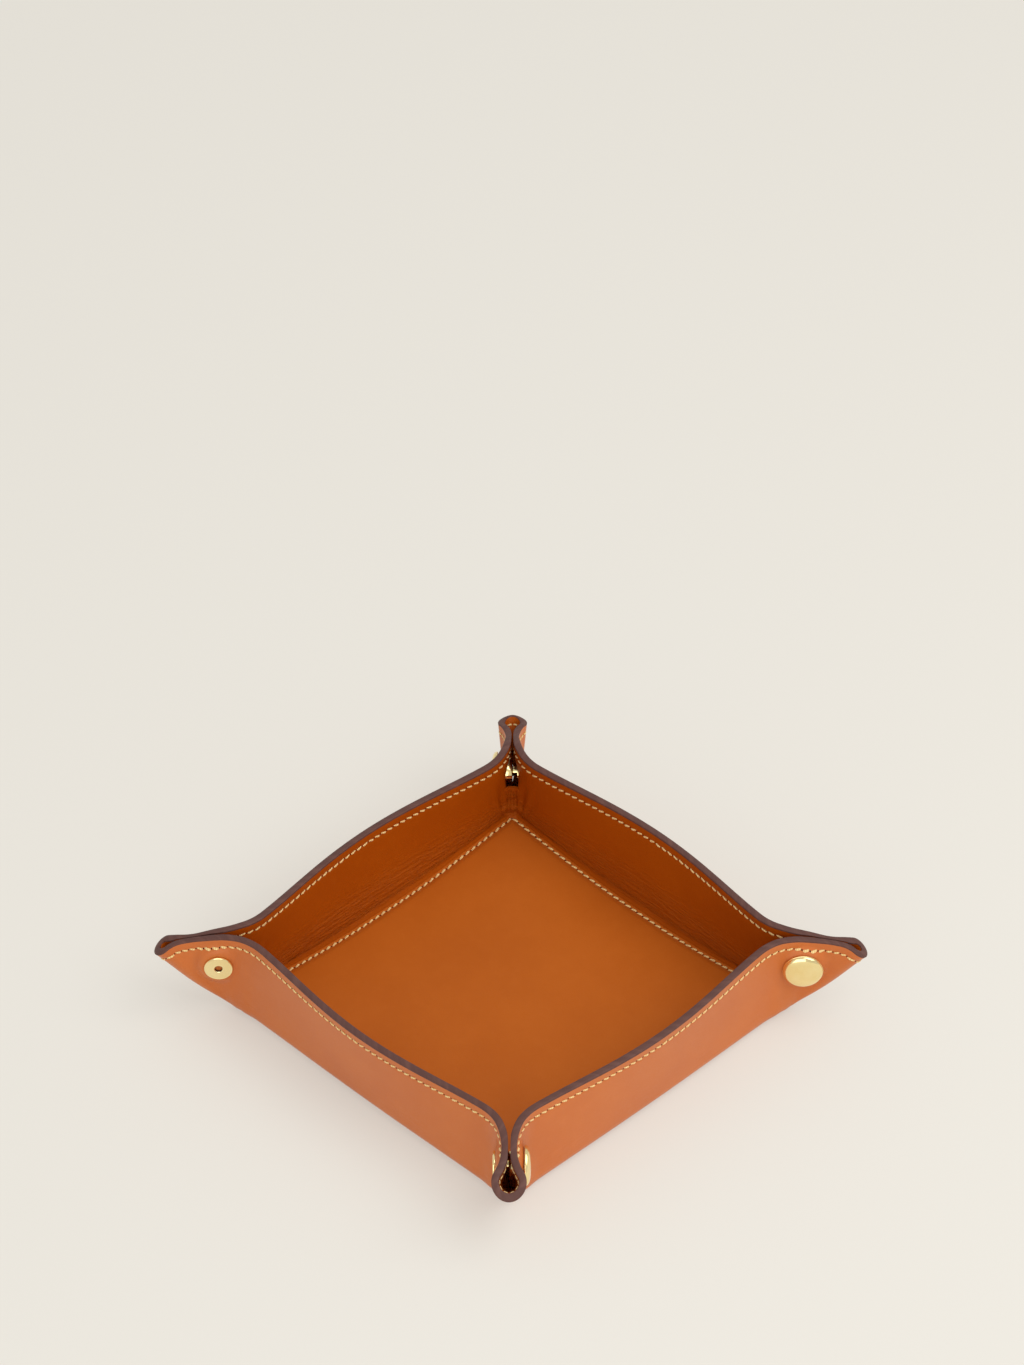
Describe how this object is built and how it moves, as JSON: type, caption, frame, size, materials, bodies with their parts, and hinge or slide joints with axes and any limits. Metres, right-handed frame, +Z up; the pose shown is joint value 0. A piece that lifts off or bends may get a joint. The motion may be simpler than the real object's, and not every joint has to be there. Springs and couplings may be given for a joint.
{
  "type": "travel tray",
  "caption": "Square leather valet tray with stitched rim and base seam, whose pinched corners close with brass press studs and open to let the walls lie down.",
  "frame": {"origin": "middle of the underside of the base", "axes": "+Z up, +X and +Y square to two of the walls"},
  "size_m": [0.177, 0.177, 0.0347],
  "materials": {
    "outer_leather": "smooth tan leather with a satin sheen",
    "lining_leather": "smooth tan leather, slightly deeper in tone",
    "board": "raw fibreboard stiffener",
    "thread": "waxed cream linen thread",
    "brass": "polished brass"
  },
  "bodies": {
    "base": {"base_outer_leather": "outer_leather", "base_board": "board", "base_lining": "lining_leather", "base_seam_thread": "thread"},
    "right_wall": {"right_wall_outer_leather": "outer_leather", "right_wall_lining": "lining_leather", "right_wall_rim_thread": "thread"},
    "right_wall_back_ear": {"right_wall_back_ear_outer_leather": "outer_leather", "right_wall_back_ear_lining": "lining_leather", "right_wall_back_ridge_leather": "outer_leather", "right_back_snap_cap": "brass", "right_back_snap_socket": "brass"},
    "right_wall_front_ear": {"right_wall_front_ear_outer_leather": "outer_leather", "right_wall_front_ear_lining": "lining_leather", "right_wall_front_ridge_leather": "outer_leather", "front_right_snap_cap": "brass", "front_right_snap_socket": "brass"},
    "back_wall": {"back_wall_outer_leather": "outer_leather", "back_wall_lining": "lining_leather", "back_wall_rim_thread": "thread"},
    "back_wall_left_ear": {"back_wall_left_ear_outer_leather": "outer_leather", "back_wall_left_ear_lining": "lining_leather", "back_wall_left_ridge_leather": "outer_leather", "back_left_snap_stud": "brass", "back_left_snap_post": "brass"},
    "back_wall_right_ear": {"back_wall_right_ear_outer_leather": "outer_leather", "back_wall_right_ear_lining": "lining_leather", "back_wall_right_ridge_leather": "outer_leather", "right_back_snap_stud": "brass", "right_back_snap_post": "brass"},
    "left_wall": {"left_wall_outer_leather": "outer_leather", "left_wall_lining": "lining_leather", "left_wall_rim_thread": "thread"},
    "left_wall_front_ear": {"left_wall_front_ear_outer_leather": "outer_leather", "left_wall_front_ear_lining": "lining_leather", "left_wall_front_ridge_leather": "outer_leather", "left_front_snap_cap": "brass", "left_front_snap_socket": "brass"},
    "left_wall_back_ear": {"left_wall_back_ear_outer_leather": "outer_leather", "left_wall_back_ear_lining": "lining_leather", "left_wall_back_ridge_leather": "outer_leather", "back_left_snap_cap": "brass", "back_left_snap_socket": "brass"},
    "front_wall": {"front_wall_outer_leather": "outer_leather", "front_wall_lining": "lining_leather", "front_wall_rim_thread": "thread"},
    "front_wall_right_ear": {"front_wall_right_ear_outer_leather": "outer_leather", "front_wall_right_ear_lining": "lining_leather", "front_wall_right_ridge_leather": "outer_leather", "front_right_snap_stud": "brass", "front_right_snap_post": "brass"},
    "front_wall_left_ear": {"front_wall_left_ear_outer_leather": "outer_leather", "front_wall_left_ear_lining": "lining_leather", "front_wall_left_ridge_leather": "outer_leather", "left_front_snap_stud": "brass", "left_front_snap_post": "brass"}
  },
  "joints": [
    {"name": "right_wall_fold", "type": "hinge", "parent": "base", "child": "right_wall", "pos_m": [0.06737, 0, 0.00198], "axis": [0, 1, 0], "range_deg": [0, 78]},
    {"name": "right_wall_back_ear_fold", "type": "hinge", "parent": "right_wall", "child": "right_wall_back_ear", "pos_m": [0.06726, 0.06304, -0.00091], "axis": [-0.047, -0.0892, 0.9949], "range_deg": [0, 43], "deforming": ["right_wall_back_ridge_leather"]},
    {"name": "right_wall_front_ear_fold", "type": "hinge", "parent": "right_wall", "child": "right_wall_front_ear", "pos_m": [0.06726, -0.06304, -0.00091], "axis": [0.047, -0.0892, -0.9949], "range_deg": [0, 43], "deforming": ["right_wall_front_ridge_leather"]},
    {"name": "back_wall_fold", "type": "hinge", "parent": "base", "child": "back_wall", "pos_m": [0, 0.06737, 0.00198], "axis": [-1, 0, 0], "range_deg": [0, 78]},
    {"name": "back_wall_left_ear_fold", "type": "hinge", "parent": "back_wall", "child": "back_wall_left_ear", "pos_m": [-0.06304, 0.06726, -0.00091], "axis": [0.0892, -0.047, 0.9949], "range_deg": [0, 43], "deforming": ["back_wall_left_ridge_leather"]},
    {"name": "back_wall_right_ear_fold", "type": "hinge", "parent": "back_wall", "child": "back_wall_right_ear", "pos_m": [0.06304, 0.06726, -0.00091], "axis": [0.0892, 0.047, -0.9949], "range_deg": [0, 43], "deforming": ["back_wall_right_ridge_leather"]},
    {"name": "left_wall_fold", "type": "hinge", "parent": "base", "child": "left_wall", "pos_m": [-0.06737, 0, 0.00198], "axis": [0, -1, 0], "range_deg": [0, 78]},
    {"name": "left_wall_front_ear_fold", "type": "hinge", "parent": "left_wall", "child": "left_wall_front_ear", "pos_m": [-0.06726, -0.06304, -0.00091], "axis": [0.047, 0.0892, 0.9949], "range_deg": [0, 43], "deforming": ["left_wall_front_ridge_leather"]},
    {"name": "left_wall_back_ear_fold", "type": "hinge", "parent": "left_wall", "child": "left_wall_back_ear", "pos_m": [-0.06726, 0.06304, -0.00091], "axis": [-0.047, 0.0892, -0.9949], "range_deg": [0, 43], "deforming": ["left_wall_back_ridge_leather"]},
    {"name": "front_wall_fold", "type": "hinge", "parent": "base", "child": "front_wall", "pos_m": [0, -0.06737, 0.00198], "axis": [1, 0, 0], "range_deg": [0, 78]},
    {"name": "front_wall_right_ear_fold", "type": "hinge", "parent": "front_wall", "child": "front_wall_right_ear", "pos_m": [0.06304, -0.06726, -0.00091], "axis": [-0.0892, 0.047, 0.9949], "range_deg": [0, 43], "deforming": ["front_wall_right_ridge_leather"]},
    {"name": "front_wall_left_ear_fold", "type": "hinge", "parent": "front_wall", "child": "front_wall_left_ear", "pos_m": [-0.06304, -0.06726, -0.00091], "axis": [-0.0892, -0.047, -0.9949], "range_deg": [0, 43], "deforming": ["front_wall_left_ridge_leather"]}
  ],
  "couplings": [
    {"joint": "right_wall_back_ear_fold", "follows": "right_wall_fold", "ratio": 0.55128},
    {"joint": "right_wall_front_ear_fold", "follows": "right_wall_fold", "ratio": 0.55128},
    {"joint": "back_wall_fold", "follows": "right_wall_fold", "ratio": 1},
    {"joint": "back_wall_left_ear_fold", "follows": "right_wall_fold", "ratio": 0.55128},
    {"joint": "back_wall_right_ear_fold", "follows": "right_wall_fold", "ratio": 0.55128},
    {"joint": "left_wall_fold", "follows": "right_wall_fold", "ratio": 1},
    {"joint": "left_wall_front_ear_fold", "follows": "right_wall_fold", "ratio": 0.55128},
    {"joint": "left_wall_back_ear_fold", "follows": "right_wall_fold", "ratio": 0.55128},
    {"joint": "front_wall_fold", "follows": "right_wall_fold", "ratio": 1},
    {"joint": "front_wall_right_ear_fold", "follows": "right_wall_fold", "ratio": 0.55128},
    {"joint": "front_wall_left_ear_fold", "follows": "right_wall_fold", "ratio": 0.55128}
  ]
}
